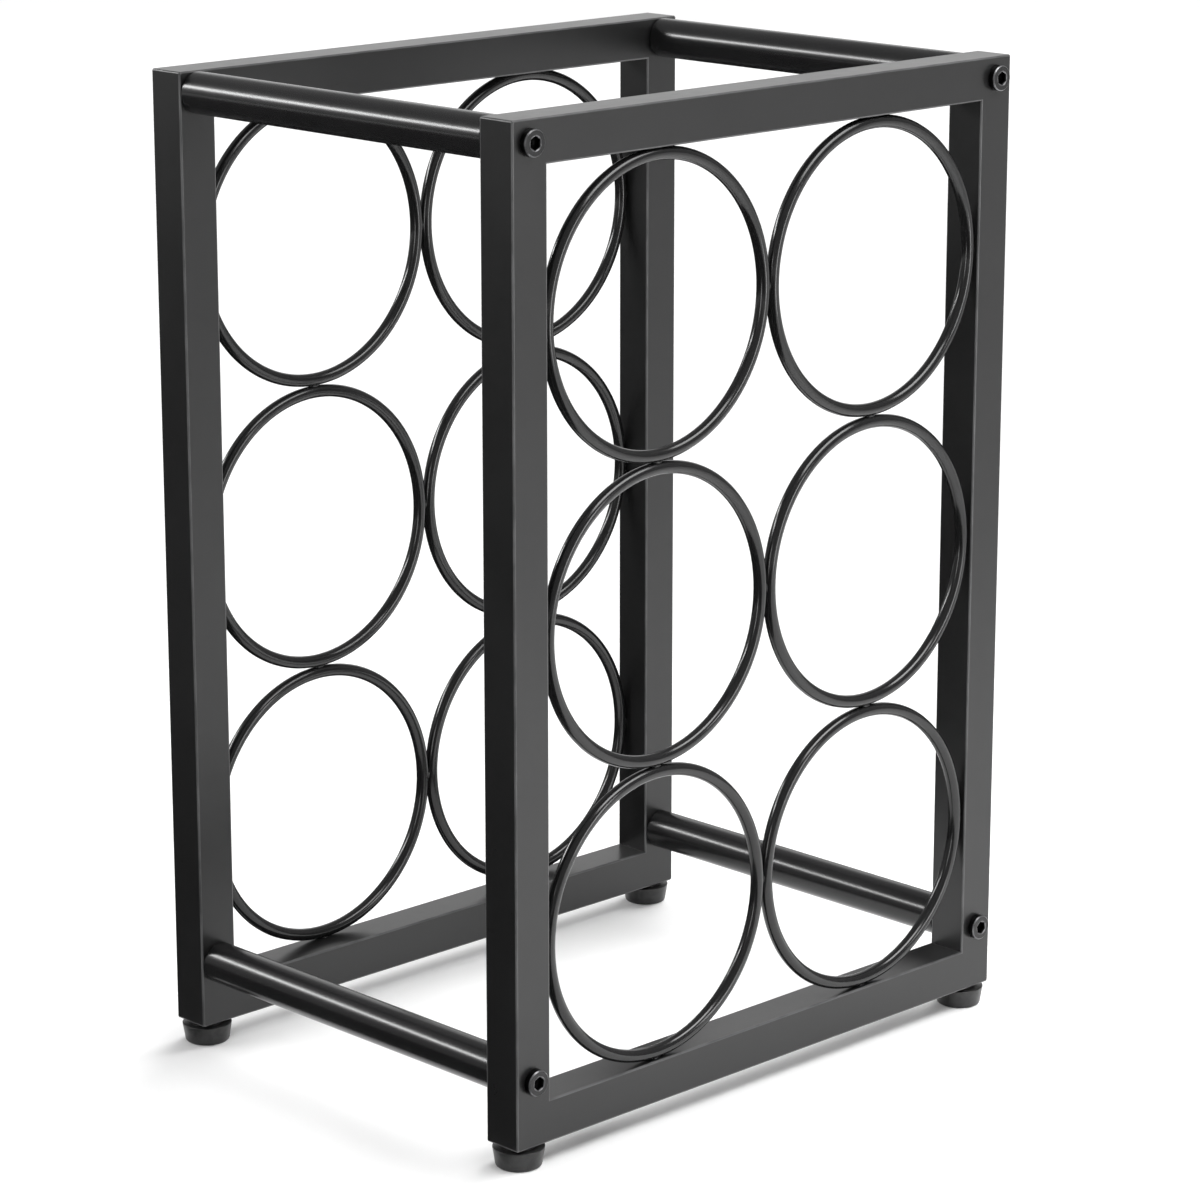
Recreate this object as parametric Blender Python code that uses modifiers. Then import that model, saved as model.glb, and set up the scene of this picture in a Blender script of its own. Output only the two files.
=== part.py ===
"""Table-top wine rack for six bottles: two welded end frames joined by four bolted round tubes.

Units are metres and +Z is up. The front of the rack faces -Y. The origin is on the floor, under the
middle of the rack. Each end frame is a rectangle of square steel tube that holds two columns of three
wire rings. A bottle lies through a front ring and the rear ring behind it.
"""
from math import cos, pi

import bmesh
import bpy
from mathutils import Vector

# ---------------------------------------------------------------- driving dimensions
TUBE = 0.015                # width of the square tube
TUBE_WALL = 0.0012          # wall of the square tube
TUBE_EDGE = 0.0007          # rounding of the square tube's long edges
RING_PITCH = 0.104          # distance between the centres of neighbouring rings
RING_WIRE = 0.0045          # diameter of the ring wire
RING_INSET = 0.003          # ring wire's axis behind the outer face of its frame
COLUMNS = 2
ROWS = 3
DEPTH = 0.179               # outer face of the front frame to outer face of the rear frame
GAP = 0.0003                # space left between two parts that touch

CROSS_TUBE = 0.0145         # outer diameter of the round tubes between the frames
CROSS_WALL = 0.0012
LOWER_TUBE_RISE = 0.0083    # lower tubes' axis above the bottom rails

BOLT_SHANK = 0.0048
BOLT_LENGTH = 0.024         # under the head
BOLT_HEAD = 0.009
BOLT_HEAD_HEIGHT = 0.0024
BOLT_CHAMFER = 0.0004
SOCKET_ACROSS = 0.0042      # hexagon socket, across its flats
SOCKET_DEPTH = 0.0018

INSERT_LENGTH = 0.012       # threaded insert in each end of a round tube
PLATE = 0.002               # thickness of the plates that close the posts

FOOT_HEIGHT = 0.008
FOOT_TOP = 0.0178           # diameter of the foot's upper rim
FOOT_BASE = 0.0156          # diameter near the floor
FOOT_ROUND = 0.0008         # rounding of the foot's lower edge
FOOT_NECK = 0.012           # raised pad on top of the foot, which the post stands on
FOOT_NECK_HEIGHT = 0.0009
FOOT_RECESS = 0.0086        # recess that takes the screw's head, from below
FOOT_RECESS_DEPTH = 0.0038
SCREW_SHANK = 0.0038
SCREW_HEAD = 0.0074
SCREW_HEAD_HEIGHT = 0.0022
SCREW_RISE = 0.0035         # screw's length above the foot, through the post's lower plate

# ---------------------------------------------------------------- sizes worked out from them
OPENING_WIDTH = COLUMNS * RING_PITCH
OPENING_HEIGHT = ROWS * RING_PITCH
FRAME_WIDTH = OPENING_WIDTH + 2 * TUBE
FRAME_HEIGHT = OPENING_HEIGHT + 2 * TUBE
FRAME_BASE = FOOT_HEIGHT
FRAME_TOP = FRAME_BASE + FRAME_HEIGHT
POST_X = (FRAME_WIDTH - TUBE) / 2
FRAME_Y = (DEPTH - TUBE) / 2
UPPER_BOLT_Z = FRAME_TOP - TUBE / 2
LOWER_BOLT_Z = FRAME_BASE + TUBE + LOWER_TUBE_RISE
BOLT_HEIGHTS = {"upper": UPPER_BOLT_Z, "lower": LOWER_BOLT_Z}
SIDES = {"left": -1, "right": 1}
FRAMES = {"front": -1, "rear": 1}

RING_STEPS = 32             # flats around a ring
WIRE_STEPS = 8              # flats around the wire
TURN_STEPS = 20             # flats around a turned part
HOLE_STEPS = 12             # flats around a small hole


# ---------------------------------------------------------------- scene and material helpers
def clear_scene():
    """Remove every object of the start-up scene."""
    for obj in list(bpy.data.objects):
        bpy.data.objects.remove(obj, do_unlink=True)


def new_collection(name):
    """Add a collection to the scene."""
    collection = bpy.data.collections.new(name)
    bpy.context.scene.collection.children.link(collection)
    return collection


def new_material(name, colour, roughness, metallic):
    """Make a plain Principled material."""
    material = bpy.data.materials.new(name)
    material.use_nodes = True
    shader = material.node_tree.nodes["Principled BSDF"]
    shader.inputs["Base Color"].default_value = (*colour, 1.0)
    shader.inputs["Roughness"].default_value = roughness
    shader.inputs["Metallic"].default_value = metallic
    material.diffuse_color = (*colour, 1.0)
    return material


def new_object(name, mesh, collection, material=None, location=(0, 0, 0), rotation=(0, 0, 0)):
    """Put a mesh in the scene as one named object."""
    obj = bpy.data.objects.new(name, mesh)
    obj.location = location
    obj.rotation_euler = rotation
    if material:
        mesh.materials.append(material)
    collection.objects.link(obj)
    return obj


# ---------------------------------------------------------------- mesh helpers
def mesh_from(build, name):
    """Run a function on an empty bmesh and return the mesh that it made."""
    bm = bmesh.new()
    build(bm)
    mesh = bpy.data.meshes.new(name)
    bm.to_mesh(mesh)
    bm.free()
    return mesh


def bar_mesh(name, width, length, edge=0.0):
    """Square bar along Z, centred on its origin, with its four long edges rounded."""

    def build(bm):
        bmesh.ops.create_cube(bm, size=1.0)
        bmesh.ops.scale(bm, vec=(width, width, length), verts=bm.verts)
        if edge:
            long_edges = [e for e in bm.edges if abs((e.verts[0].co - e.verts[1].co).z) > length / 2]
            bmesh.ops.bevel(bm, geom=long_edges, offset=edge, segments=2, profile=0.5, affect="EDGES")

    return mesh_from(build, name)


def rod_mesh(name, diameter, length, steps):
    """Solid round or many-sided rod along Z, centred on its origin."""

    def build(bm):
        bmesh.ops.create_cone(bm, cap_ends=True, segments=steps, radius1=diameter / 2,
                              radius2=diameter / 2, depth=length)

    return mesh_from(build, name)


def profile_mesh(name, points, closed):
    """Outline in the XZ plane, ready to be turned about Z. Its outer side runs from top to bottom."""

    def build(bm):
        verts = [bm.verts.new((x, 0.0, z)) for x, z in points]
        pairs = list(zip(verts, verts[1:]))
        if closed:
            pairs.append((verts[-1], verts[0]))
        for pair in pairs:
            bm.edges.new(pair)

    return mesh_from(build, name)


def turn(obj, steps=TURN_STEPS):
    """Turn an outline about Z into a closed solid."""
    screw = obj.modifiers.new("turn", "SCREW")
    screw.angle = 2 * pi
    screw.axis = "Z"
    screw.steps = steps
    screw.render_steps = steps
    screw.use_merge_vertices = True
    screw.merge_threshold = 0.00002
    screw.use_smooth_shade = True
    return obj


def sleeve_points(outer, inner, top, bottom):
    """Outline of a plain sleeve from its two diameters and two heights."""
    return [(outer / 2, top), (outer / 2, bottom), (inner / 2, bottom), (inner / 2, top)]


def cut(obj, cutter):
    """Cut one shape out of an object."""
    boolean = obj.modifiers.new("cut_" + cutter.name, "BOOLEAN")
    boolean.operation = "DIFFERENCE"
    boolean.solver = "EXACT"
    boolean.object = cutter


def new_cutter(name, mesh, location, rotation=(0, 0, 0)):
    """Place a shape that only cuts others."""
    cutter = new_object(name, mesh, CUTTERS, None, location, rotation)
    cutter.hide_render = True
    cutter.display_type = "WIRE"
    return cutter


def hollow_bar(name, length, location, rotation, material):
    """Square tube, open at both ends, along its own Z."""
    tube = new_object(name, bar_mesh(name, TUBE, length, TUBE_EDGE), RACK, material, location, rotation)
    bore = bar_mesh(name + "_bore", TUBE - 2 * TUBE_WALL, length + 2 * TUBE)
    cut(tube, new_cutter(name + "_bore", bore, location, rotation))
    return tube


# ---------------------------------------------------------------- end frames
def add_post(frame, side, material):
    """Upright of square tube, drilled front to back for its two bolts."""
    location = Vector((SIDES[side] * POST_X, FRAMES[frame] * FRAME_Y, FRAME_BASE + FRAME_HEIGHT / 2))
    name = f"{frame}_{side}_post"
    post = hollow_bar(name, FRAME_HEIGHT, location, (0, 0, 0), material)
    for level, height in BOLT_HEIGHTS.items():
        drill = rod_mesh(f"{name}_{level}_hole", BOLT_SHANK + 2 * GAP, 2 * TUBE, HOLE_STEPS)
        place = (location.x, location.y, height)
        cut(post, new_cutter(f"{name}_{level}_hole", drill, place, (pi / 2, 0, 0)))


def add_rail(frame, level, material):
    """Level piece of square tube between two posts."""
    height = {"top": FRAME_TOP - TUBE / 2, "bottom": FRAME_BASE + TUBE / 2}[level]
    location = (0, FRAMES[frame] * FRAME_Y, height)
    hollow_bar(f"{frame}_{level}_rail", OPENING_WIDTH - 2 * GAP, location, (0, pi / 2, 0), material)


def add_end_plate(frame, side, level, material):
    """Plate welded inside the end of a post. The lower one has the hole for the foot's screw."""
    name = f"{frame}_{side}_{level}_plate"
    height = {"top": FRAME_TOP - PLATE / 2, "bottom": FRAME_BASE + PLATE / 2}[level]
    location = (SIDES[side] * POST_X, FRAMES[frame] * FRAME_Y, height)
    width = TUBE - 2 * TUBE_WALL - 2 * GAP
    plate = new_object(name, bar_mesh(name, width, PLATE), RACK, material, location)
    if level == "bottom":
        drill = rod_mesh(name + "_hole", SCREW_SHANK + 2 * GAP, 4 * PLATE, HOLE_STEPS)
        cut(plate, new_cutter(name + "_hole", drill, location))


def add_ring(frame, column, row, material):
    """Wire ring that carries one end of a bottle. It sits just behind its frame's outer face."""
    name = f"{frame}_ring_{('left', 'right')[column]}_{('lower', 'middle', 'upper')[row]}"
    outer = RING_PITCH - GAP
    bpy.ops.mesh.primitive_torus_add(
        major_segments=RING_STEPS, minor_segments=WIRE_STEPS,
        major_radius=(outer - RING_WIRE) / 2, minor_radius=RING_WIRE / 2,
        location=(RING_PITCH * (column - (COLUMNS - 1) / 2),
                  FRAMES[frame] * (DEPTH / 2 - RING_INSET),
                  FRAME_BASE + TUBE + RING_PITCH * (row + 0.5)),
        rotation=(pi / 2, 0, 0))
    ring = bpy.context.object
    ring.name = name
    ring.data.name = name
    ring.data.materials.append(material)
    ring.data.shade_smooth()
    for collection in list(ring.users_collection):
        collection.objects.unlink(ring)
    RACK.objects.link(ring)


# ---------------------------------------------------------------- round tubes and their bolts
def add_cross_tube(side, level, material):
    """Round tube that holds the two frames apart."""
    length = DEPTH - 2 * TUBE - 2 * GAP
    name = f"{level}_{side}_cross_tube"
    points = sleeve_points(CROSS_TUBE, CROSS_TUBE - 2 * CROSS_WALL, length / 2, -length / 2)
    location = (SIDES[side] * POST_X, 0, BOLT_HEIGHTS[level])
    turn(new_object(name, profile_mesh(name, points, True), RACK, material, location, (pi / 2, 0, 0)))


def outward_turn(frame):
    """Rotation that points a part's own +Z out of the rack, through the given frame."""
    return (-FRAMES[frame] * pi / 2, 0, 0)


def add_insert(frame, side, level, material):
    """Threaded insert fixed in the end of a round tube, flush with it."""
    name = f"{frame}_{side}_{level}_insert"
    outer = CROSS_TUBE - 2 * CROSS_WALL - 2 * GAP
    points = sleeve_points(outer, BOLT_SHANK + 2 * GAP, 0, -INSERT_LENGTH)
    location = (SIDES[side] * POST_X, FRAMES[frame] * (DEPTH / 2 - TUBE - GAP), BOLT_HEIGHTS[level])
    mesh = profile_mesh(name, points, True)
    turn(new_object(name, mesh, RACK, material, location, outward_turn(frame)))


def add_bolt(frame, side, level, material):
    """Socket-head bolt that passes through the post into the insert."""
    name = f"{frame}_{side}_{level}_bolt"
    head = BOLT_HEAD / 2
    shank = BOLT_SHANK / 2
    top = BOLT_HEAD_HEIGHT
    points = [
        (0, top), (head - BOLT_CHAMFER, top), (head, top - BOLT_CHAMFER), (head, 0),
        (shank, 0), (shank, BOLT_CHAMFER - BOLT_LENGTH), (shank - BOLT_CHAMFER, -BOLT_LENGTH),
        (0, -BOLT_LENGTH),
    ]
    location = Vector((SIDES[side] * POST_X, FRAMES[frame] * (DEPTH / 2 + GAP), BOLT_HEIGHTS[level]))
    rotation = outward_turn(frame)
    bolt = new_object(name, profile_mesh(name, points, False), RACK, material, location, rotation)
    turn(bolt)
    across_corners = SOCKET_ACROSS / cos(pi / 6)
    socket = rod_mesh(name + "_socket", across_corners, 2 * SOCKET_DEPTH, 6)
    place = location + Vector((0, FRAMES[frame] * BOLT_HEAD_HEIGHT, 0))
    cut(bolt, new_cutter(name + "_socket", socket, place, rotation))


# ---------------------------------------------------------------- feet
def add_foot(frame, side, material):
    """Tapered rubber foot, wider at the top, with a recess below for the screw's head."""
    name = f"{frame}_{side}_foot"
    rim = FOOT_HEIGHT - FOOT_NECK_HEIGHT
    bore = SCREW_SHANK / 2 + GAP
    points = [
        (FOOT_NECK / 2, FOOT_HEIGHT - GAP), (FOOT_NECK / 2, rim), (FOOT_TOP / 2, rim),
        (FOOT_BASE / 2, FOOT_ROUND), (FOOT_BASE / 2 - FOOT_ROUND, 0),
        (FOOT_RECESS / 2, 0), (FOOT_RECESS / 2, FOOT_RECESS_DEPTH), (bore, FOOT_RECESS_DEPTH),
        (bore, FOOT_HEIGHT - GAP),
    ]
    location = (SIDES[side] * POST_X, FRAMES[frame] * FRAME_Y, 0)
    turn(new_object(name, profile_mesh(name, points, True), RACK, material, location))


def add_foot_screw(frame, side, material):
    """Screw that holds a foot to the plate in the end of its post. Its head hides in the foot."""
    name = f"{frame}_{side}_foot_screw"
    seat = FOOT_RECESS_DEPTH - GAP
    points = [
        (0, FOOT_HEIGHT + SCREW_RISE), (SCREW_SHANK / 2, FOOT_HEIGHT + SCREW_RISE),
        (SCREW_SHANK / 2, seat), (SCREW_HEAD / 2, seat),
        (SCREW_HEAD / 2, seat - SCREW_HEAD_HEIGHT), (0, seat - SCREW_HEAD_HEIGHT),
    ]
    location = (SIDES[side] * POST_X, FRAMES[frame] * FRAME_Y, 0)
    turn(new_object(name, profile_mesh(name, points, False), RACK, material, location), HOLE_STEPS)


# ---------------------------------------------------------------- assembly
def build_rack():
    """Make every part of the rack."""
    coat = new_material("frame_powder_coat", (0.035, 0.035, 0.036), 0.45, 0.0)
    ring_coat = new_material("ring_powder_coat", (0.03, 0.03, 0.031), 0.38, 0.0)
    tube_coat = new_material("tube_powder_coat", (0.03, 0.03, 0.031), 0.35, 0.0)
    black_steel = new_material("bolt_black_steel", (0.04, 0.04, 0.042), 0.4, 0.8)
    zinc = new_material("zinc_steel", (0.62, 0.62, 0.6), 0.35, 1.0)
    rubber = new_material("foot_rubber", (0.025, 0.025, 0.025), 0.6, 0.0)

    for frame in FRAMES:
        for side in SIDES:
            add_post(frame, side, coat)
            for level in ("top", "bottom"):
                add_end_plate(frame, side, level, coat)
            for level in BOLT_HEIGHTS:
                add_insert(frame, side, level, zinc)
                add_bolt(frame, side, level, black_steel)
            add_foot(frame, side, rubber)
            add_foot_screw(frame, side, zinc)
        for level in ("top", "bottom"):
            add_rail(frame, level, coat)
        for column in range(COLUMNS):
            for row in range(ROWS):
                add_ring(frame, column, row, ring_coat)
    for side in SIDES:
        for level in BOLT_HEIGHTS:
            add_cross_tube(side, level, tube_coat)


clear_scene()
RACK = new_collection("wine_rack")
CUTTERS = new_collection("cutters")
build_rack()
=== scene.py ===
"""Table-top wine rack for six bottles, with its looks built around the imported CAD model.

Laid out as an add-on and run as a script. Lengths are metres and +Z is up. The front of the rack faces
-Y, and its middle stands over the origin, on the floor. Every new piece is a closed sheet of points worked
out as one array from two parameters, and takes its place and size from the CAD node that it stands for.
"""
from math import cos, pi, radians, sin

import bmesh
import bpy
import numpy as np
from bpy.props import FloatProperty, FloatVectorProperty, PointerProperty
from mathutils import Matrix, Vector


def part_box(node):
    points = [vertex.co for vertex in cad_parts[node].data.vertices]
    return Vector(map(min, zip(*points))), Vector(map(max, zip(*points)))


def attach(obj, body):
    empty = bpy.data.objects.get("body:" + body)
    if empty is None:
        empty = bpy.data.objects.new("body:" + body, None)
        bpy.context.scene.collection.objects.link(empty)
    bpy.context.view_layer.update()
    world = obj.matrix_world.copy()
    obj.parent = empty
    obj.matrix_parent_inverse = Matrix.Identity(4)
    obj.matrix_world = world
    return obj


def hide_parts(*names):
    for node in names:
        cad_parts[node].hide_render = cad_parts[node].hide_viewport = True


bl_info = {
    "name": "Wine rack",
    "version": (1, 0, 0),
    "blender": (4, 5, 0),
    "location": "3D View > Sidebar > Wine rack",
    "description": "Builds the looks of a six-bottle wine rack around its CAD model",
    "category": "Object",
}

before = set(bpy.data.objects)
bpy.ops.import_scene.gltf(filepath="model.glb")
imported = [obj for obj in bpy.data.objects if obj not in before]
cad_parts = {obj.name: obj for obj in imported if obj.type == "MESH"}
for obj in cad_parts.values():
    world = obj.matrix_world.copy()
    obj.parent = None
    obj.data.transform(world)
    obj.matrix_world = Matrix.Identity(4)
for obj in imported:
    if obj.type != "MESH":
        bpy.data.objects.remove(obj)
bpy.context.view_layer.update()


# ---------------------------------------------------------------- what the CAD model gives
FRAMES = {"front": -1, "rear": 1}
SIDES = {"left": -1, "right": 1}
LEVELS = ("upper", "lower")
COLUMNS = ("left", "right")
ROWS = ("lower", "middle", "upper")


def cad_span(node):
    """Size of a CAD node along X, Y and Z."""
    low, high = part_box(node)
    return high - low


def cad_middle(node):
    """Middle of a CAD node's box."""
    low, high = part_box(node)
    return (low + high) / 2


POST = cad_span("front_left_post")
RING = cad_span("front_ring_left_lower")
CROSS_TUBE = cad_span("upper_left_cross_tube")
BOLT = cad_span("front_left_upper_bolt")
FOOT = cad_span("front_left_foot")
FOOT_SCREW = cad_span("front_left_foot_screw")
FOOT_SCREW_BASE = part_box("front_left_foot_screw")[0].z
RING_PITCH = cad_middle("front_ring_right_lower").x - cad_middle("front_ring_left_lower").x
FRAME_WIDTH = 2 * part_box("front_right_post")[1].x

EDGE_MARGIN = 0.00004       # extra points this far beside a rounding keep the flats flat when shaded
WELD_GAP = 1e-6             # points closer than this are one point
WEAR_AND_HIGHLIGHT, PAINTED_SHADE, PAINTED_HALF_SHADE = 1.0, -1.0, -0.6      # values of the mark: 1 rubbed edges, with a painted highlight on frames and bolts; -1 and -0.6 painted shade


# ---------------------------------------------------------------- sizes and colours that a user may change
def length(name, description, default):
    """A length in metres, for a property group."""
    return FloatProperty(name=name, description=description, default=default, min=0.0, precision=5,
                         subtype="DISTANCE", unit="LENGTH")


def colour(name, description, default):
    """A linear colour, for a property group."""
    return FloatVectorProperty(name=name, description=description, default=default, size=3, min=0.0,
                               max=1.0, subtype="COLOR")


def number(name, description, default, largest=1.0):
    """A plain number from 0 up, for a property group."""
    return FloatProperty(name=name, description=description, default=default, min=0.0, max=largest)


class RackSizes(bpy.types.PropertyGroup):
    """Lengths of the rack's parts. The defaults come from the CAD model where it has them."""

    tube: length("Square tube", "Width of the frames' square tube", POST.x)
    edge_rounding: length("Edge rounding", "Radius of the square tube's long edges", 0.0006)
    corner_rounding: length("Corner rounding", "Radius of a frame's four outer corners", 0.0007)
    ring_wire: length("Ring wire", "Diameter of the ring wire", RING.y)
    weld_length: length("Weld length", "Length of a tack weld along the wire", 0.0042)
    weld_width: length("Weld width", "Width of a tack weld across the joint", 0.0019)
    weld_depth: length("Weld depth", "Thickness of a tack weld, front to back", 0.0026)
    tube_wall: length("Tube wall", "Wall of the round cross tubes", 0.0012)
    tube_lip: length("Tube lip", "Rounding at the ends of the round tubes", 0.0004)
    head_height: length("Head height", "Height of a bolt's head", 0.0024)
    head_chamfer: length("Head chamfer", "Bevel round a bolt's head", 0.00045)
    shank: length("Bolt shank", "Diameter of a bolt's shank", 0.0048)
    socket_corners: length("Socket corners", "Hexagon socket, corner to corner", 0.00485)
    socket_depth: length("Socket depth", "Depth of the hexagon socket", 0.0018)
    foot_base: length("Foot base", "Diameter of a foot near the floor", 0.0156)
    foot_neck: length("Foot neck", "Diameter of the pad on top of a foot", 0.012)
    foot_gap: length("Foot gap", "Height of the pad on top of a foot", 0.0009)
    foot_recess: length("Foot recess", "Diameter of the recess under a foot", 0.0086)
    foot_recess_depth: length("Foot recess depth", "Depth of the recess under a foot", 0.0038)
    screw_shank: length("Foot screw shank", "Diameter of a foot screw's shank", 0.0038)
    screw_head_height: length("Foot screw head", "Height of a foot screw's head", 0.0022)


class RackColours(bpy.types.PropertyGroup):
    """Colours of the rack's finishes, as linear values."""

    frame_coat: colour("Frame coat", "Satin black coat of the two frames", (0.0110, 0.0110, 0.0112))
    ring_coat: colour("Ring coat", "Satin black coat of the rings", (0.0080, 0.0080, 0.0082))
    tube_coat: colour("Tube coat", "Satin black coat of the round tubes", (0.0095, 0.0095, 0.0098))
    bolt_black: colour("Bolt black", "Blackened steel of the bolts", (0.015, 0.015, 0.0155))
    rubber: colour("Rubber", "Black rubber of the feet", (0.016, 0.016, 0.016))
    zinc: colour("Zinc", "Zinc plating of the hidden fasteners", (0.60, 0.61, 0.60))


class StageSettings(bpy.types.PropertyGroup):
    """The floor, the lights and the camera."""

    floor: colour("Floor", "Colour of the floor", (0.95, 0.95, 0.95))
    surround: number("Surround", "Strength of the even light from all round", 0.33, 10.0)
    side_light: number("Side light", "Strength of the wide soft light from the right", 4.1, 10.0)
    near_light: number("Near light", "Power of the light on the floor before the rack, in watts", 2.4,
                       1000.0)
    front_light: number("Front light", "Power of the slim light before the rack, in watts", 2.0, 1000.0)
    edge_light: number("Edge light", "Power of the slim light that lines the upright edges, in watts", 1.5,
                       1000.0)
    back_light: number("Back light", "Power of the broad light behind the rack, in watts", 7.2, 1000.0)
    strip_light: number("Strip light", "Power of the narrow light that lines the tubes, in watts", 12.5,
                        1000.0)
    azimuth: FloatProperty(name="Azimuth", description="Camera's bearing from the rack's front",
                           default=radians(-44.3), subtype="ANGLE", unit="ROTATION")
    elevation: FloatProperty(name="Elevation", description="Camera's height angle above the aim point",
                             default=radians(14.65), subtype="ANGLE", unit="ROTATION")
    distance: length("Distance", "Camera's distance from the aim point", 1.451)
    aim_height: length("Aim height", "Height of the point that the camera looks at", 0.1597)
    lens: FloatProperty(name="Lens", description="Focal length in millimetres, on a 36 mm sensor",
                        default=122.8, min=1.0, unit="CAMERA")


# ---------------------------------------------------------------- outlines, as arrays of two columns
def rounded_rectangle(half_width, half_height, radius, steps):
    """Outline of a rectangle with round corners, anticlockwise from its right side.

    Corner k has its centre at (+-(half_width - radius), +-(half_height - radius)), and its points are that
    centre plus radius (cos a, sin a), for a from 90k to 90k + 90 degrees. One more point lies on the flat
    at each end of the arc. The sizes may be arrays: the outline then has one row for each of their values.
    Returns the two coordinates and a mask that is 1 on the arcs.
    """
    quarter = np.arange(4)[:, None] * (pi / 2)
    sweep = np.concatenate([[0.0], np.linspace(0.0, pi / 2, steps + 1), [pi / 2]])
    slide = np.concatenate([[-EDGE_MARGIN], np.zeros(steps + 1), [EDGE_MARGIN]])
    angle = (quarter + sweep).ravel()
    slide = np.tile(slide, 4)
    middle = np.repeat(quarter.ravel() + pi / 4, steps + 3)
    half_width, half_height, radius = (np.asarray(v, float)[..., None] for v in
                                       (half_width, half_height, radius))
    first = np.sign(np.cos(middle)) * (half_width - radius) + radius * np.cos(angle)
    second = np.sign(np.sin(middle)) * (half_height - radius) + radius * np.sin(angle)
    return (first - slide * np.sin(angle), second + slide * np.cos(angle),
            (slide == 0).astype(float))


def softened(corners, closed=False, steps=5):
    """Outline through corners given as (radius, height, rounding), with each corner rounded.

    Corner C with unit directions u in and v out becomes the curve (1-s)^2 A + 2s(1-s) C + s^2 B, where
    A = C - r u, B = C + r v and s runs from 0 to 1, with one more point on the straight at each end.
    """
    table = np.array(corners, float)
    point, rounding = table[:, :2], table[:, 2:]
    step_out = np.roll(point, -1, axis=0) - point
    if not closed:
        step_out[-1] = step_out[-2]
    step_in = np.roll(step_out, 1, axis=0)
    if not closed:
        step_in[0] = step_out[0]
    into = step_in / np.linalg.norm(step_in, axis=1, keepdims=True)
    out = step_out / np.linalg.norm(step_out, axis=1, keepdims=True)
    s = np.linspace(0.0, 1.0, steps + 1)[:, None, None]
    start, end = point - rounding * into, point + rounding * out
    curve = (1 - s) ** 2 * start + 2 * s * (1 - s) * point + s ** 2 * end
    rows = np.concatenate([(start - EDGE_MARGIN * into)[None], curve, (end + EDGE_MARGIN * out)[None]])
    outline = rows.transpose(1, 0, 2).reshape(-1, 2)
    if not closed:
        outline = outline[steps // 2 + 1:len(outline) - steps // 2 - 1]
        outline[0], outline[-1] = point[0], point[-1]
    return outline


# ---------------------------------------------------------------- sheets, as grids of points
def square_tube_loop(width, height, tube, edge, corner, steps=5):
    """Square tube carried round an upright rectangle, as one seamless closed sheet.

    The tube's own outline gives (d, y): d is how far the point lies outside the tube's centre line. Its path
    is the rectangle of half sizes (width/2 + d, height/2 + d), whose corner radius grows from 0 on the inner
    side to the full one on the outer side. Point (i, j) is (path x, y, path z).
    """
    out, depth, round_edge = rounded_rectangle(tube / 2, tube / 2, edge, steps)
    radius = corner * (out / tube + 0.5)
    x, z, round_corner = rounded_rectangle(width / 2 + out, height / 2 + out, radius, steps)
    y = np.broadcast_to(depth[:, None], x.shape)
    # The rounded long edges and outer corners are marked for paler paint: partly rubbed film, mostly a
    # painted highlight.
    outer = (out > tube / 2 - WELD_GAP).astype(float)[:, None]
    wear_and_light_marks = np.maximum(np.broadcast_to(round_edge[:, None], x.shape), round_corner * outer)
    return np.stack([x, y, z], axis=-1), wear_and_light_marks


def wire_ring(radius, wire, around=176, across=28):
    """Ring of round wire in the XZ plane: (R + r cos v) (cos u, 0, sin u) + r sin v (0, 1, 0)."""
    u = np.linspace(0, 2 * pi, around, endpoint=False)[None, :]
    v = np.linspace(0, 2 * pi, across, endpoint=False)[:, None]
    reach = radius + wire / 2 * np.cos(v)
    y = np.broadcast_to(wire / 2 * np.sin(v), (across, around))
    return np.stack([reach * np.cos(u), y, reach * np.sin(u)], axis=-1)


def weld_bead(middle, along, size, seed, around=20, across=13):
    """Small mound of weld metal: an ellipsoid with a slightly uneven skin.

    Point (u, v) is middle + k (a cos v cos u along + b cos v sin u across + c sin v Y), where the unevenness
    k = 1 + 0.07 sin(3u + seed) cos v + 0.05 sin(5u - 2 seed) sin 2v.
    """
    u = np.linspace(0, 2 * pi, around, endpoint=False)[None, :]
    v = np.linspace(-pi / 2, pi / 2, across)[:, None]
    uneven = 1 + 0.07 * np.sin(3 * u + seed) * np.cos(v) + 0.05 * np.sin(5 * u - 2 * seed) * np.sin(2 * v)
    a, b, c = (s / 2 for s in size)
    run = a * np.cos(v) * np.cos(u) * uneven
    side = b * np.cos(v) * np.sin(u) * uneven
    x = run * along[0] - side * along[1]
    z = run * along[1] + side * along[0]
    y = c * np.sin(v) * np.ones_like(u)
    return np.stack([x, y, z], axis=-1) + np.array(middle, float)


def turned(outline, steps=72, hexagon=None):
    """Outline of (radius, height) turned about Z: (r cos u, r sin u, h).

    Where hexagon is 1 the radius is that of a hexagon with corners at 30, 90, 150 degrees and so on:
    r cos 30 / cos(a), with a the angle from the middle of the nearest flat. Where it is 0, it is a circle.
    """
    u = np.linspace(0, 2 * pi, steps, endpoint=False)[None, :]
    radius, height = outline[:, :1], outline[:, 1:]
    if hexagon is not None:
        from_flat = (u + pi / 6) % (pi / 3) - pi / 6
        radius = radius * (1 + hexagon[:, None] * (cos(pi / 6) / np.cos(from_flat) - 1))
    else:
        radius = radius * np.ones_like(u)
    return np.stack([radius * np.cos(u), radius * np.sin(u), height * np.ones_like(u)], axis=-1)


def facing(points, origin, outward=0, spin=0.0):
    """Spin a turned sheet about Z, point its Z along outward Y (or up if outward is 0), and place it."""
    x, y, z = np.moveaxis(points, -1, 0)
    x, y = x * cos(spin) - y * sin(spin), x * sin(spin) + y * cos(spin)
    if outward:
        x, y, z = x, outward * z, -outward * y
    return np.stack([x, y, z], axis=-1) + np.array(origin, float)


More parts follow.
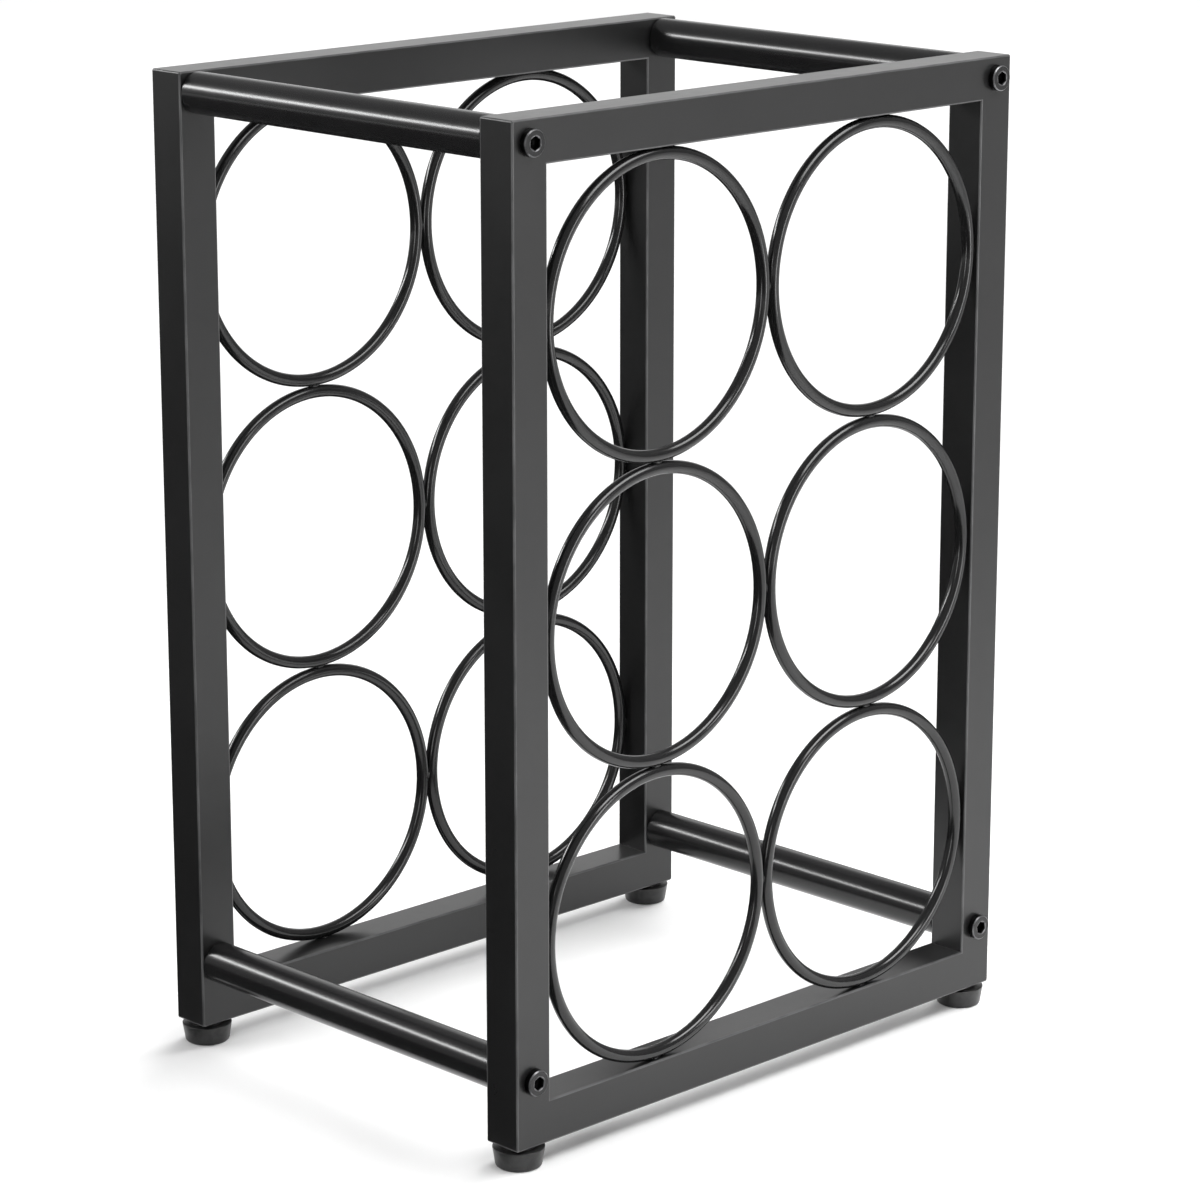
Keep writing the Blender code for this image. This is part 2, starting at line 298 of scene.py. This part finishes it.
def cross_arm(along, across):
    """One arm of a screw's cross recess: 1 on its floor and 0 outside, with sloping sides and ends."""
    half_width, half_length, side_slope, end_slope = 0.00055, 0.0021, 0.0002, 0.0008
    return (np.clip((half_width - np.abs(across)) / side_slope, 0, 1)
            * np.clip((half_length - np.abs(along)) / end_slope, 0, 1))


# ---------------------------------------------------------------- meshes
def quads(rows, columns, closed_rows):
    """Corner numbers of every cell of a grid whose columns, and perhaps rows, join end to end."""
    i = np.arange(rows if closed_rows else rows - 1)[:, None]
    j = np.arange(columns)[None, :]
    below, right = (i + 1) % rows, (j + 1) % columns
    return np.stack([i * columns + j, i * columns + right, below * columns + right, below * columns + j],
                    axis=-1).reshape(-1, 4)


def outward_quads(points, closed_rows):
    """Quads of a closed sheet, turned round if its signed volume shows that they face inwards."""
    rows, columns = points.shape[:2]
    faces = quads(rows, columns, closed_rows)
    a, b, c, d = (points.reshape(-1, 3)[faces[:, k]] for k in range(4))
    volume = np.einsum("ij,ij->", a, np.cross(b, c)) + np.einsum("ij,ij->", a, np.cross(c, d))
    return faces if volume > 0 else faces[:, ::-1]


def new_piece(name, sheets, material, stands_for=()):
    """Make one object from closed sheets, given as (points, closed rows, mark), and fix it to the rack.

    The mark is 1 on rounded edges: rubbed wear on the feet, rubbed wear and a painted highlight on the
    frames and bolts. It is -1 inside a bolt's socket and -0.6 on its flank, for painted shade, and 0
    elsewhere.
    """
    points, faces, wear_and_painted_light, start = [], [], [], 0
    for sheet, closed_rows, wear_and_light_marks in sheets:
        faces.append(outward_quads(sheet, closed_rows) + start)
        points.append(sheet.reshape(-1, 3))
        wear_and_painted_light.append(np.broadcast_to(wear_and_light_marks, sheet.shape[:2]).ravel())
        start += len(points[-1])
    mesh = bpy.data.meshes.new(name)
    mesh.from_pydata(np.concatenate(points).tolist(), [], np.concatenate(faces).tolist())
    # One point attribute holds the mark: rubbed wear, painted highlight and painted shade.
    mesh.attributes.new("wear_and_painted_light", "FLOAT", "POINT").data.foreach_set(
        "value", np.concatenate(wear_and_painted_light).astype(np.float32))
    bm = bmesh.new()
    bm.from_mesh(mesh)
    bmesh.ops.remove_doubles(bm, verts=bm.verts, dist=WELD_GAP)
    bm.to_mesh(mesh)
    bm.free()
    mesh.polygons.foreach_set("use_smooth", np.ones(len(mesh.polygons), bool))
    mesh.materials.append(material)
    piece = bpy.data.objects.new(name, mesh)
    bpy.context.scene.collection.objects.link(piece)
    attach(piece, "root")
    if stands_for:
        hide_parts(*stands_for)
    return piece


# ---------------------------------------------------------------- finishes
class Value:
    """A number that varies over a surface. Arithmetic on it adds Math nodes."""

    def __init__(self, finish, socket):
        self.finish = finish
        self.socket = socket

    def math(self, operation, first, second):
        """One Math node on two numbers, either of which may be a Value."""
        return self.finish.node("ShaderNodeMath", {"operation": operation}, {0: first, 1: second})

    def __add__(self, other):
        return self.math("ADD", self, other)

    def __radd__(self, other):
        return self.math("ADD", other, self)

    def __sub__(self, other):
        return self.math("SUBTRACT", self, other)

    def __rsub__(self, other):
        return self.math("SUBTRACT", other, self)

    def __mul__(self, other):
        return self.math("MULTIPLY", self, other)

    def __rmul__(self, other):
        return self.math("MULTIPLY", other, self)

    def rise(self, low, high):
        """0 below low and 1 above high, with a smooth rise between them."""
        return self.finish.node("ShaderNodeMapRange", {"interpolation_type": "SMOOTHSTEP"},
                                {"Value": self, "From Min": low, "From Max": high})


class Finish:
    """One Principled material, written as expressions on its nodes."""

    def __init__(self, name, **even):
        self.material = bpy.data.materials.new(name)
        self.material.use_nodes = True
        self.tree = self.material.node_tree
        self.shader = self.tree.nodes["Principled BSDF"]
        for socket, value in even.items():
            self.shader.inputs[socket.replace("_", " ")].default_value = value
        self.place = self.node("ShaderNodeTexCoord", output="Object")

    def node(self, kind, settings=None, inputs=None, output=0):
        """Add a node: its settings first, then the value or link of each socket. Gives one output."""
        made = self.tree.nodes.new(kind)
        for key, value in (settings or {}).items():
            setattr(made, key, value)
        for key, value in (inputs or {}).items():
            if isinstance(value, Value):
                self.tree.links.new(value.socket, made.inputs[key])
            else:
                made.inputs[key].default_value = value
        return Value(self, made.outputs[output])

    def noise(self, size, detail=2.0, roughness=0.5, stretch=(1.0, 1.0, 1.0)):
        """Soft noise from 0 to 1 whose blotches are about size across, longer where stretch is small."""
        place = self.node("ShaderNodeMapping", inputs={"Vector": self.place, "Scale": stretch})
        return self.node("ShaderNodeTexNoise", inputs={
            "Vector": place, "Scale": 1 / size, "Detail": detail, "Roughness": roughness})

    def wear_and_painted_light(self):
        """The piece's own mark: rubbed wear, painted highlight on frame and bolt edges, and painted shade in
        bolts.
        """
        return self.node("ShaderNodeAttribute", {"attribute_name": "wear_and_painted_light"}, output="Fac")

    def blend(self, share, first, second):
        """Colour between two colours."""
        return self.node("ShaderNodeMix", {"data_type": "RGBA"},
                         {"Factor": share, 6: first, 7: second}, output=2)

    def bump(self, height, distance):
        """Surface relief: height 0 to 1 stands for this many metres."""
        return self.node("ShaderNodeBump", inputs={"Height": height, "Distance": distance})

    def feed(self, **varying):
        """Link what changes over the surface to the shader. Returns the finished material."""
        for socket, value in varying.items():
            self.tree.links.new(value.socket, self.shader.inputs[socket.replace("_", " ")])
        return self.material


def shade(colour_value, factor):
    """A colour made lighter or darker, with its alpha."""
    return (*(min(1.0, c * factor) for c in colour_value), 1.0)


def powder_coat(name, base, roughness, peel_height, grain_height=0.000004):
    """Satin powder coat: slow drift and fine mottle in colour and gloss, orange peel and a dusting of
    grain in the relief, and paler rounded edges: partly a thinner, rubbed film, mostly a painted highlight."""
    finish = Finish(name, Specular_IOR_Level=0.5, IOR=1.5)
    drift = finish.noise(0.045, detail=2.0)
    mottle = finish.noise(0.0045, detail=4.0, roughness=0.6)
    peel = finish.noise(0.0016, detail=1.0)
    grain = finish.noise(0.00035, detail=2.0)
    # Patchy mark on the rounded frame edges: partly a thinner, rubbed film, mostly a painted highlight.
    wear_and_painted_light = finish.wear_and_painted_light() * (0.55 + 0.45 * finish.noise(0.012, detail=3.0).rise(0.3, 0.7))
    tone = finish.blend(drift.rise(0.3, 0.7) * 0.6 + mottle * 0.4, shade(base, 0.86), shade(base, 1.16))
    tone = finish.blend(grain.rise(0.62, 0.78) * 0.35, tone, shade(base, 1.9))
    # Painted highlight with some rubbed wear: the rounded edges go nine times paler than the coat.
    tone = finish.blend(wear_and_painted_light, tone, shade(base, 9.0))
    gloss = roughness + (mottle - 0.5) * 0.06 + (drift - 0.5) * 0.05 + (grain - 0.5) * 0.04
    relief = peel * (1 - grain_height / peel_height) + grain * (grain_height / peel_height)
    return finish.feed(Base_Color=tone, Roughness=gloss, Normal=finish.bump(relief, peel_height))


def black_steel(name, base):
    """Blackened bolt steel: a cloudy oxide film; a painted highlight where the mark is 1, round the socket's
    mouth and on the head's bevel, where it also stands for rubbed bare steel; and painted shade where the
    mark is below 0, dead black near -1 inside the socket and lighter on the head's flank."""
    finish = Finish(name, Specular_IOR_Level=0.5)
    film = finish.noise(0.0012, detail=4.0, roughness=0.65)
    fine = finish.noise(0.0002, detail=2.0)
    mark = finish.wear_and_painted_light()
    # Painted highlight on the bevel and the socket's mouth, with some rubbed bare steel on the bevel.
    rubbed_and_highlit = mark.rise(0.1, 0.9) * (0.6 + 0.4 * finish.noise(0.0008, detail=3.0).rise(0.3, 0.7))
    # Painted shade inside the socket and on the head's flank: near black there, and more metallic.
    socket_and_flank_shade = (mark * -1.0).rise(0.1, 0.9)
    tone = finish.blend(film, shade(base, 0.7), shade(base, 1.4))
    tone = finish.blend(rubbed_and_highlit * 0.8, tone, shade(base, 14.0))
    tone = finish.blend(socket_and_flank_shade, tone, shade(base, 0.15))
    # Metallic rises with the painted highlight and with the painted shade.
    metal = 0.35 + rubbed_and_highlit * 0.4 + socket_and_flank_shade * 0.65
    gloss = 0.30 + (film - 0.5) * 0.12 + (fine - 0.5) * 0.08
    return finish.feed(Base_Color=tone, Metallic=metal, Roughness=gloss,
                       Normal=finish.bump(film * 0.6 + fine * 0.4, 0.00001))


def moulded_rubber(name, base):
    """Black rubber: fine matt grain, a slight bloom in places and rubbed, paler edges."""
    finish = Finish(name, Specular_IOR_Level=0.45, IOR=1.5)
    bloom = finish.noise(0.006, detail=4.0, roughness=0.6)
    grain = finish.noise(0.0003, detail=3.0)
    wear_and_painted_light = finish.wear_and_painted_light() * finish.noise(0.002, detail=3.0).rise(0.3, 0.7)
    tone = finish.blend(bloom.rise(0.35, 0.75), shade(base, 0.85), shade(base, 1.35))
    tone = finish.blend(wear_and_painted_light * 0.5, tone, shade(base, 2.4))
    gloss = 0.34 + (bloom - 0.5) * 0.12 + (grain - 0.5) * 0.1
    return finish.feed(Base_Color=tone, Roughness=gloss, Normal=finish.bump(grain, 0.00002))


def zinc_plate(name, base):
    """Bright zinc plating: crystalline mottle with a faint warm tint in places."""
    finish = Finish(name, Metallic=1.0)
    crystals = finish.noise(0.0009, detail=4.0, roughness=0.7)
    tint = finish.noise(0.004, detail=2.0)
    fine = finish.noise(0.00025, detail=2.0)
    warm = (base[0] * 0.98, base[1] * 0.94, base[2] * 0.84, 1.0)
    tone = finish.blend(crystals, shade(base, 0.85), shade(base, 1.08))
    tone = finish.blend(tint.rise(0.45, 0.75) * 0.5, tone, warm)
    gloss = 0.3 + (crystals - 0.5) * 0.2 + (fine - 0.5) * 0.06
    return finish.feed(Base_Color=tone, Roughness=gloss,
                       Normal=finish.bump(crystals * 0.5 + fine * 0.5, 0.00001))


# ---------------------------------------------------------------- pieces
class WINERACK_OT_end_frames(bpy.types.Operator):
    """Build the two welded end frames of square tube"""

    bl_idname = "wine_rack.end_frames"
    bl_label = "End frames"

    def execute(self, context):
        sizes, colours = context.scene.rack_sizes, context.scene.rack_colours
        coat = powder_coat("frame_satin_black_coat", colours.frame_coat, roughness=0.30,
                           peel_height=0.000010)
        width = FRAME_WIDTH - sizes.tube
        height = POST.z - sizes.tube
        points, wear_and_light_marks = square_tube_loop(width, height, sizes.tube, sizes.edge_rounding,
                                        sizes.corner_rounding)
        for name in FRAMES:
            post = cad_middle(f"{name}_left_post")
            parts = [f"{name}_{side}_{part}" for side in SIDES
                     for part in ("post", "top_plate", "bottom_plate")]
            parts += [f"{name}_{level}_rail" for level in ("top", "bottom")]
            placed = points + np.array((0, post.y, post.z))
            new_piece(f"{name}_end_frame", [(placed, True, wear_and_light_marks)], coat, parts)
        return {"FINISHED"}


class WINERACK_OT_rings(bpy.types.Operator):
    """Build the twelve wire rings that carry the bottles"""

    bl_idname = "wine_rack.rings"
    bl_label = "Wire rings"

    def execute(self, context):
        sizes, colours = context.scene.rack_sizes, context.scene.rack_colours
        coat = powder_coat("ring_satin_black_coat", colours.ring_coat, roughness=0.17,
                           peel_height=0.000004, grain_height=0.000001)
        points = wire_ring((RING_PITCH - sizes.ring_wire) / 2, sizes.ring_wire)
        for name in FRAMES:
            for column in COLUMNS:
                for row in ROWS:
                    node = f"{name}_ring_{column}_{row}"
                    placed = points + np.array(cad_middle(node))
                    new_piece(f"{name}_bottle_ring_{column}_{row}", [(placed, True, 0.0)], coat,
                              [node])
        return {"FINISHED"}


class WINERACK_OT_ring_welds(bpy.types.Operator):
    """Build the tack welds that hold the rings to each other and to their frame"""

    bl_idname = "wine_rack.ring_welds"
    bl_label = "Ring welds"

    def execute(self, context):
        sizes, colours = context.scene.rack_sizes, context.scene.rack_colours
        coat = powder_coat("weld_satin_black_coat", colours.ring_coat, roughness=0.27,
                           peel_height=0.000012)
        size = (sizes.weld_length, sizes.weld_width, sizes.weld_depth)
        reach = RING_PITCH / 2
        for name in FRAMES:
            centres = np.array([cad_middle(f"{name}_ring_{c}_{r}") for c in COLUMNS for r in ROWS])
            level = np.concatenate([centres + (reach, 0, 0), centres - (reach, 0, 0)])
            upright = np.concatenate([centres + (0, 0, reach), centres - (0, 0, reach)])
            beads = [(spot, (0.0, 1.0)) for spot in np.unique(level.round(6), axis=0)]
            beads += [(spot, (1.0, 0.0)) for spot in np.unique(upright.round(6), axis=0)]
            sheets = [(weld_bead(spot, along, size, seed), False, 0.0)
                      for seed, (spot, along) in enumerate(beads)]
            new_piece(f"{name}_ring_welds", sheets, coat)
        return {"FINISHED"}


class WINERACK_OT_cross_tubes(bpy.types.Operator):
    """Build the four round tubes between the frames"""

    bl_idname = "wine_rack.cross_tubes"
    bl_label = "Cross tubes"

    def execute(self, context):
        sizes, colours = context.scene.rack_sizes, context.scene.rack_colours
        coat = powder_coat("tube_satin_black_coat", colours.tube_coat, roughness=0.22,
                           peel_height=0.000005, grain_height=0.0000012)
        outer, half = CROSS_TUBE.x / 2, CROSS_TUBE.y / 2
        inner = outer - sizes.tube_wall
        outline = softened([(outer, half, sizes.tube_lip), (outer, -half, sizes.tube_lip),
                            (inner, -half, 0.0001), (inner, half, 0.0001)], closed=True)
        points = turned(outline, steps=96)
        for level in LEVELS:
            for side in SIDES:
                node = f"{level}_{side}_cross_tube"
                placed = facing(points, cad_middle(node), outward=1)
                new_piece(f"{level}_{side}_round_tube", [(placed, True, 0.0)], coat, [node])
        return {"FINISHED"}


class WINERACK_OT_bolts(bpy.types.Operator):
    """Build the eight black hexagon-socket bolts"""

    bl_idname = "wine_rack.bolts"
    bl_label = "Socket bolts"

    def execute(self, context):
        sizes, colours = context.scene.rack_sizes, context.scene.rack_colours
        steel = black_steel("bolt_blackened_steel", colours.bolt_black)
        chamfer, tip_bevel, mouth_bevel, pilot = sizes.head_chamfer, 0.0004, 0.00012, 0.0006
        head, top, shank = BOLT.x / 2, sizes.head_height, sizes.shank / 2
        tip = top - BOLT.y
        corner, floor = sizes.socket_corners / 2, top - sizes.socket_depth
        body = softened([
            (0, tip, 0), (shank - tip_bevel, tip, 0.0001), (shank, tip + tip_bevel, 0.0001),
            (shank, 0, 0.0001), (head, 0, 0.00008),
            (head, top - chamfer, 0.00012), (head - chamfer, top, 0.00012),
            (corner + mouth_bevel, top, 0.00004), (corner, top - mouth_bevel, 0.00003),
            (corner, floor, 0.00008), (pilot, floor - 0.00035, 0.00005), (pilot, floor - 0.0007, 0.00005),
            (0, floor - 0.0009, 0)])
        reach, height = body.T
        # Each mask reaches a little past its corners, to take in the points that the roundings add.
        deep = (height < top - 0.00009) & (height > floor - 0.0002) & (reach < corner + 0.00005)
        hexagon = np.where(deep & (reach > pilot + 0.0001), 1.0, 0.0)
        points = turned(body, steps=72, hexagon=hexagon)
        # The bevel and the socket's mouth get a painted highlight, the bevel also some rubbed wear.
        bevel = (reach > head - chamfer * 0.95) & (height > top - chamfer * 0.95)
        lip = (abs(reach - corner) < 0.00016) & (height > top - 0.00016)
        # The socket's inside and the head's flank get painted shade.
        inside = (height < top - 0.0002) & (reach < corner + 0.0001)
        flank = (height < top - chamfer - 0.00015) & (reach > shank + 0.0002)
        wear_and_light_marks = (WEAR_AND_HIGHLIGHT * (bevel | lip) + PAINTED_SHADE * inside + PAINTED_HALF_SHADE * flank)[:, None]
        for number_made, (name, outward) in enumerate(FRAMES.items()):
            for side, across in SIDES.items():
                for level_made, level in enumerate(LEVELS):
                    node = f"{name}_{side}_{level}_bolt"
                    low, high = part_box(node)
                    seat = (high.y if outward > 0 else low.y) - outward * top
                    middle = (low + high) / 2
                    spin = radians(7.0 * across * (level_made + 0.5) + 11.0 * number_made)
                    placed = facing(points, (middle.x, seat, middle.z), outward, spin)
                    new_piece(f"{name}_{side}_{level}_socket_bolt", [(placed, False, wear_and_light_marks)], steel,
                              [node])
        return {"FINISHED"}


class WINERACK_OT_inserts(bpy.types.Operator):
    """Give the threaded inserts inside the round tubes their zinc finish"""

    bl_idname = "wine_rack.inserts"
    bl_label = "Threaded inserts"

    def execute(self, context):
        zinc = zinc_plate("insert_zinc", context.scene.rack_colours.zinc)
        for name in FRAMES:
            for side in SIDES:
                for level in LEVELS:
                    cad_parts[f"{name}_{side}_{level}_insert"].material_slots[0].material = zinc
        return {"FINISHED"}


class WINERACK_OT_feet(bpy.types.Operator):
    """Build the four tapered rubber feet"""

    bl_idname = "wine_rack.feet"
    bl_label = "Rubber feet"

    def execute(self, context):
        sizes, colours = context.scene.rack_sizes, context.scene.rack_colours
        rubber = moulded_rubber("foot_black_rubber", colours.rubber)
        top, rim = FOOT.z, FOOT.z - sizes.foot_gap
        wide, base, neck = FOOT.x / 2, sizes.foot_base / 2, sizes.foot_neck / 2
        screw_play, recess_bevel, base_rounding = 0.0002, 0.0006, 0.0009
        recess, bore = sizes.foot_recess / 2, sizes.screw_shank / 2 + screw_play
        outline = softened([
            (neck, top, 0.00015), (neck, rim, 0.0002), (wide, rim, 0.00035), (base, 0.0, base_rounding),
            (recess + recess_bevel, 0.0, 0.0002), (recess, recess_bevel, 0.0002),
            (recess, sizes.foot_recess_depth, 0.0003), (bore, sizes.foot_recess_depth, 0.0001),
            (bore, top, 0.0001)], closed=True)
        reach, height = outline.T
        points = turned(outline, steps=96)
        wear_and_light_marks = WEAR_AND_HIGHLIGHT * ((reach > base - base_rounding) & ((height < 0.001) | (height > rim - 0.0004)))
        for name in FRAMES:
            for side in SIDES:
                node = f"{name}_{side}_foot"
                middle = cad_middle(node)
                placed = facing(points, (middle.x, middle.y, 0.0))
                new_piece(f"{name}_{side}_rubber_foot", [(placed, True, wear_and_light_marks[:, None])], rubber,
                          [node])
        return {"FINISHED"}


class WINERACK_OT_foot_screws(bpy.types.Operator):
    """Build the four cross-recess screws that hold the feet.

    The face of the head is the dome shoulder + (tall - shoulder) sqrt(1 - r^2 / head^2), with the cross
    recess taken out of it.
    """

    bl_idname = "wine_rack.foot_screws"
    bl_label = "Foot screws"

    def execute(self, context):
        sizes, colours = context.scene.rack_sizes, context.scene.rack_colours
        zinc = zinc_plate("foot_screw_zinc", colours.zinc)
        head, shank, tall = FOOT_SCREW.x / 2, sizes.screw_shank / 2, sizes.screw_head_height
        edge, shoulder, recess_depth = head * 0.97, tall * 0.6, 0.0012
        face = np.linspace(edge, 0.0, 22)[:, None] * (1.0, 0.0)
        side = softened([(0, -FOOT_SCREW.z + tall, 0), (shank, -FOOT_SCREW.z + tall, 0.0003),
                         (shank, 0, 0.0001), (head, 0, 0.0001), (head, tall * 0.45, 0.0004),
                         (edge, shoulder, 0.0)])
        outline = np.concatenate([side, face])
        points = turned(outline, steps=96)
        x, y, z = np.moveaxis(points, -1, 0)
        on_face = np.arange(len(outline))[:, None] >= len(side)
        dome = shoulder + (tall - shoulder) * np.sqrt(np.clip(1 - (x ** 2 + y ** 2) / head ** 2, 0, 1))
        recess = np.maximum(cross_arm(x, y), cross_arm(y, x))
        z = np.where(on_face, dome - recess_depth * recess, z)
        points = np.stack([x, -y, FOOT_SCREW_BASE + tall - z], axis=-1)
        for name in FRAMES:
            for side_name in SIDES:
                node = f"{name}_{side_name}_foot_screw"
                middle = cad_middle(node)
                placed = points + np.array((middle.x, middle.y, 0.0))
                new_piece(f"{name}_{side_name}_pan_head_screw", [(placed, False, 0.0)], zinc,
                          [node])
        return {"FINISHED"}


# ---------------------------------------------------------------- stage
STAGE_REACH = 9.0           # half the floor's width
SENSOR_WIDTH = 36.0         # millimetres
AIM_Y = -0.0065             # the camera looks at a point this far from the rack's middle


def look_at(thing, target):
    """Point a light's or camera's -Z at a target, with its Y upwards."""
    thing.rotation_euler = (Vector(target) - thing.location).to_track_quat("-Z", "Y").to_euler()


def place_light(name, data, location, target, power):
    """Put a light in the scene, aimed at a target. It shines on the rack, and the camera does not see it."""
    data.energy = power
    light = bpy.data.objects.new(name, data)
    light.location = location
    light.visible_camera = False
    look_at(light, target)
    bpy.context.scene.collection.objects.link(light)
    return light


def panel_light(name, location, target, width, height, power, spread=180.0):
    """Soft rectangular light. Its beam narrows as spread, in degrees, gets smaller."""
    data = bpy.data.lights.new(name, "AREA")
    data.shape = "RECTANGLE"
    data.size, data.size_y, data.spread = width, height, radians(spread)
    return place_light(name, data, location, target, power)


def sky_light(name, direction, width, strength):
    """Very wide, distant light that comes evenly from one side, width degrees across."""
    data = bpy.data.lights.new(name, "SUN")
    data.angle = radians(width)
    return place_light(name, data, Vector(direction), (0, 0, 0), strength)


def stage_piece(name, points, faces, paper, seen_by=None):
    """Make one piece of the stage. If seen_by is "camera" or "glossy", no other rays meet the piece."""
    mesh = bpy.data.meshes.new(name)
    mesh.from_pydata(points, [], faces)
    mesh.materials.append(paper.material)
    piece = bpy.data.objects.new(name, mesh)
    bpy.context.scene.collection.objects.link(piece)
    if seen_by:
        for ray in ("camera", "diffuse", "glossy", "transmission", "volume_scatter", "shadow"):
            setattr(piece, f"visible_{ray}", ray == seen_by)


def studio_floor(floor_colour):
    """Plain square floor."""
    points = [(x * STAGE_REACH, y * STAGE_REACH, 0) for x, y in ((-1, -1), (1, -1), (1, 1), (-1, 1))]
    paper = Finish("floor_paper", Roughness=0.9, Specular_IOR_Level=0.0, Base_Color=(*floor_colour, 1.0))
    stage_piece("studio_floor", points, [(0, 1, 2, 3)], paper)


def studio_backdrop(steps=96):
    """White paper wall that stands all round the floor. Only the camera sees it, so it lights nothing."""
    radius, height = STAGE_REACH - 0.1, 2 * STAGE_REACH
    angle = np.linspace(0, 2 * pi, steps, endpoint=False)
    rim = np.stack([radius * np.cos(angle), radius * np.sin(angle), np.zeros(steps)], axis=-1)
    points = np.stack([rim, rim + (0.0, 0.0, height)])
    paper = Finish("backdrop_paper", Base_Color=(0.0, 0.0, 0.0, 1.0), Roughness=1.0, Specular_IOR_Level=0.0,
                   Emission_Color=(1.0, 1.0, 1.0, 1.0), Emission_Strength=1.0)
    stage_piece("studio_backdrop", points.reshape(-1, 3).tolist(), quads(2, steps, False).tolist(), paper,
                "camera")


def shade_card():
    """Black card just above the floor, left of the rack and behind it, as a studio uses to deepen one side
    of a dark object. Only reflections see it: it darkens the left-hand faces and leaves the floor pale."""
    far, left, back, z = 2.6, -0.125, 0.1, 0.0005
    points = [(-far, -far, z), (left, -far, z), (left, far, z), (-far, far, z),
              (left, back, z), (far, back, z), (far, far, z)]
    paper = Finish("shade_card_black", Base_Color=(0.01, 0.01, 0.01, 1.0), Roughness=1.0,
                   Specular_IOR_Level=0.0)
    stage_piece("shade_card", points, [(0, 1, 2, 3), (4, 5, 6, 2)], paper, "glossy")


class WINERACK_OT_stage(bpy.types.Operator):
    """Set up the pale floor, the soft studio light and the camera"""

    bl_idname = "wine_rack.stage"
    bl_label = "Stage"

    def execute(self, context):
        scene, settings = context.scene, context.scene.stage_settings
        studio_floor(settings.floor)
        shade_card()
        studio_backdrop()

        scene.world = bpy.data.worlds.new("studio")
        scene.world.use_nodes = True
        background = scene.world.node_tree.nodes["Background"]
        background.inputs["Color"].default_value = (1.0, 1.0, 1.0, 1.0)
        background.inputs["Strength"].default_value = settings.surround
        side_light = sky_light("side_light", (0.9, 0.1, 0.6), width=60.0, strength=settings.side_light)
        side_light.visible_glossy = False
        panel_light("near_light", (0.15, -0.5, 0.8), (0.1, -0.28, 0.0), width=0.6, height=0.35,
                    power=settings.near_light, spread=110.0)
        for name, place, power in (("front_light", (0.27, -0.98, 0.22), settings.front_light),
                                   ("edge_light", (-1.15, -0.5, 0.22), settings.edge_light)):
            slim_light = panel_light(name, place, (0.0, 0.0, 0.15), width=0.14, height=0.5, power=power)
            slim_light.visible_diffuse = False
        panel_light("back_light", (2.0, 2.1, 1.0), (0.0, 0.0, 0.25), width=2.4, height=1.3,
                    power=settings.back_light)
        panel_light("strip_light", (-0.9, 1.12, 0.86), (0.0, 0.0, 0.3), width=1.3, height=0.16,
                    power=settings.strip_light)

        camera = bpy.data.objects.new("camera", bpy.data.cameras.new("camera"))
        scene.collection.objects.link(camera)
        target = Vector((0.0, AIM_Y, settings.aim_height))
        back = Vector((sin(settings.azimuth) * cos(settings.elevation),
                       -cos(settings.azimuth) * cos(settings.elevation), sin(settings.elevation)))
        camera.location = target + back * settings.distance
        look_at(camera, target)
        camera.data.sensor_width = SENSOR_WIDTH
        camera.data.lens = settings.lens
        camera.data.dof.use_dof = False
        scene.camera = camera
        scene.view_settings.view_transform = "Standard"
        scene.view_settings.look = "None"
        return {"FINISHED"}


# ---------------------------------------------------------------- panel and registration
class WINERACK_PT_panel(bpy.types.Panel):
    """Lists the rack's parts and settings"""

    bl_idname = "WINERACK_PT_panel"
    bl_label = "Wine rack"
    bl_space_type = "VIEW_3D"
    bl_region_type = "UI"
    bl_category = "Wine rack"

    def draw(self, context):
        layout = self.layout
        for operator in OPERATORS:
            layout.operator(operator.bl_idname)
        for group in (context.scene.rack_sizes, context.scene.rack_colours, context.scene.stage_settings):
            box = layout.box()
            for name in group.__annotations__:
                box.prop(group, name)


GROUPS = {"rack_sizes": RackSizes, "rack_colours": RackColours, "stage_settings": StageSettings}
OPERATORS = (WINERACK_OT_end_frames, WINERACK_OT_rings, WINERACK_OT_ring_welds, WINERACK_OT_cross_tubes,
             WINERACK_OT_bolts, WINERACK_OT_inserts, WINERACK_OT_feet, WINERACK_OT_foot_screws,
             WINERACK_OT_stage)


def register():
    """Register every class and hang the settings on the scene."""
    for made in (*GROUPS.values(), *OPERATORS, WINERACK_PT_panel):
        bpy.utils.register_class(made)
    for name, group in GROUPS.items():
        setattr(bpy.types.Scene, name, PointerProperty(type=group))


def unregister():
    """Take the settings and classes away again."""
    for name in GROUPS:
        delattr(bpy.types.Scene, name)
    for made in (WINERACK_PT_panel, *reversed(OPERATORS), *reversed(GROUPS.values())):
        bpy.utils.unregister_class(made)


def main():
    """Build the rack and its stage."""
    register()
    bpy.ops.wine_rack.end_frames()
    bpy.ops.wine_rack.rings()
    bpy.ops.wine_rack.ring_welds()
    bpy.ops.wine_rack.cross_tubes()
    bpy.ops.wine_rack.bolts()
    bpy.ops.wine_rack.inserts()
    bpy.ops.wine_rack.feet()
    bpy.ops.wine_rack.foot_screws()
    bpy.ops.wine_rack.stage()


if __name__ == "__main__":
    main()
